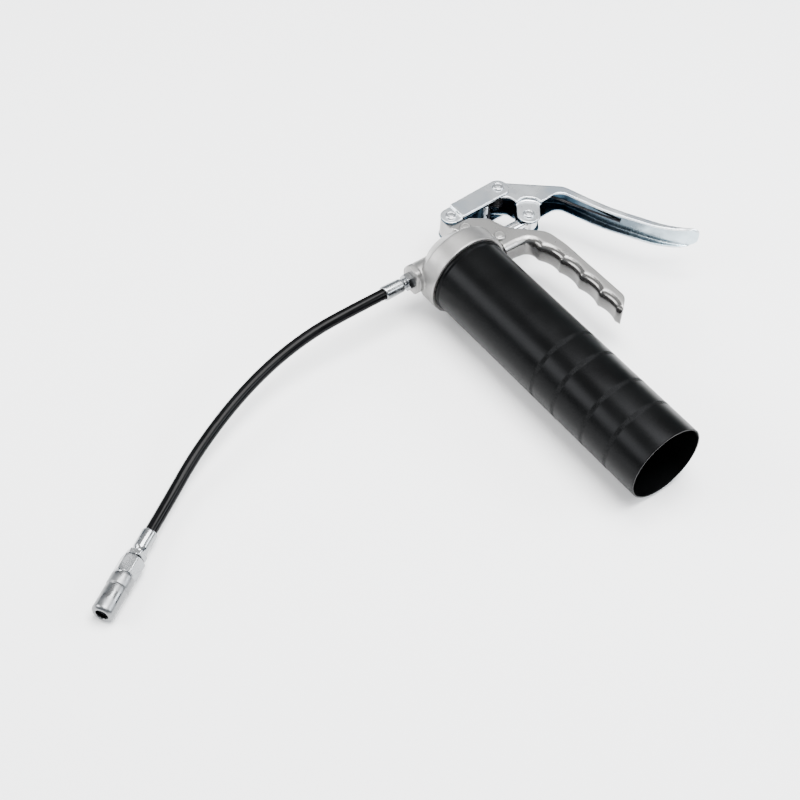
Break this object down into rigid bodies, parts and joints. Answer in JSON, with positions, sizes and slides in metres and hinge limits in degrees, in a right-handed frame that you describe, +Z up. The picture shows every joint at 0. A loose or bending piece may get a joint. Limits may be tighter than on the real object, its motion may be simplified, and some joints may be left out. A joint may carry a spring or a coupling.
{
  "type": "grease gun",
  "caption": "Squeeze-lever grease gun with an open cartridge barrel, cast head and grip, pressed lever on a swinging link, and a whip hose with a gripping coupler.",
  "frame": {"origin": "on the barrel's axis at the mouth of the head's socket, where the barrel leaves the head", "axes": "+X along the barrel to its open end, +Y from the barrel to the grip and lever, +Z up from the surface that the gun lies on"},
  "size_m": [0.2582, 0.5036, 0.063],
  "materials": {
    "cast_metal": "satin, shot-blasted casting",
    "cast_rivet": "satin, domed rivets of the same cast colour",
    "black_paint": "semi-gloss black paint",
    "seal_rubber": "matt black",
    "zinc_plate": "bright blue-white zinc plate on pressed sheet",
    "zinc_pins": "bright zinc plate",
    "zinc_fittings": "bright zinc plate on turned fittings",
    "coupler_chrome": "polished nickel chrome",
    "hard_chrome": "hard chromed rod",
    "ground_steel": "ground steel",
    "black_steel": "blackened spring wire",
    "brass_seat": "plain brass",
    "hose_rubber": "glossy black rubber"
  },
  "bodies": {
    "gun": {"pump_head": "cast_metal", "fixed_grip": "cast_metal", "front_rivet": "cast_rivet", "rear_rivet": "cast_rivet", "base_pin": "zinc_pins", "pump_cylinder": "ground_steel", "rod_seal": "seal_rubber", "gland_nut": "zinc_fittings", "valve_seat": "brass_seat", "hose_adapter": "zinc_fittings", "near_ferrule": "zinc_fittings", "hose": "hose_rubber", "far_ferrule": "zinc_fittings", "coupler_body": "zinc_fittings", "coupler_sleeve": "coupler_chrome", "cartridge_seal": "seal_rubber"},
    "barrel": {"barrel_tube": "black_paint"},
    "link": {"fulcrum_link": "zinc_plate", "spring_peg": "zinc_plate", "fulcrum_pin": "zinc_pins"},
    "lever": {"lever": "zinc_plate", "rod_pin": "zinc_pins", "return_spring": "black_steel"},
    "piston": {"piston_rod": "hard_chrome"},
    "ball": {"check_ball": "ground_steel", "check_spring": "black_steel"},
    "jaws": {"coupler_jaws": "ground_steel", "coupler_seal": "seal_rubber", "coupler_spring": "black_steel"}
  },
  "joints": [
    {"name": "lever_squeeze", "type": "hinge", "parent": "link", "child": "lever", "pos_m": [-0.0485, 0.0649, 0], "axis": [0, 0, -1], "range_deg": [0, 25], "stiffness_Nm_per_rad": 3, "springref_deg": -20.05, "deforming": ["return_spring"]},
    {"name": "link_swing", "type": "hinge", "parent": "gun", "child": "link", "pos_m": [-0.0457, 0.02, 0], "axis": [0, 0, -1], "range_deg": [0, 0.8]},
    {"name": "piston_stroke", "type": "slide", "parent": "gun", "child": "piston", "axis": [0, -1, 0], "range_m": [0, 0.0136]},
    {"name": "barrel_turn", "type": "hinge", "parent": "gun", "child": "barrel", "pos_m": [0, 0, 0], "axis": [1, 0, 0], "range_deg": [0, 720]},
    {"name": "check_valve", "type": "slide", "parent": "gun", "child": "ball", "axis": [0, -1, 0], "range_m": [0, 0.001], "stiffness_N_per_m": 200, "springref_m": -0.002, "deforming": ["check_spring"]},
    {"name": "jaw_release", "type": "slide", "parent": "gun", "child": "jaws", "axis": [-0.5307, 0.8476, 0], "range_m": [0, 0.0015], "stiffness_N_per_m": 2000, "springref_m": -0.001, "deforming": ["coupler_spring"]}
  ],
  "couplings": [
    {"joint": "link_swing", "follows": "lever_squeeze", "ratio": 0.03},
    {"joint": "piston_stroke", "follows": "lever_squeeze", "m_per_rad": 0.0309}
  ]
}
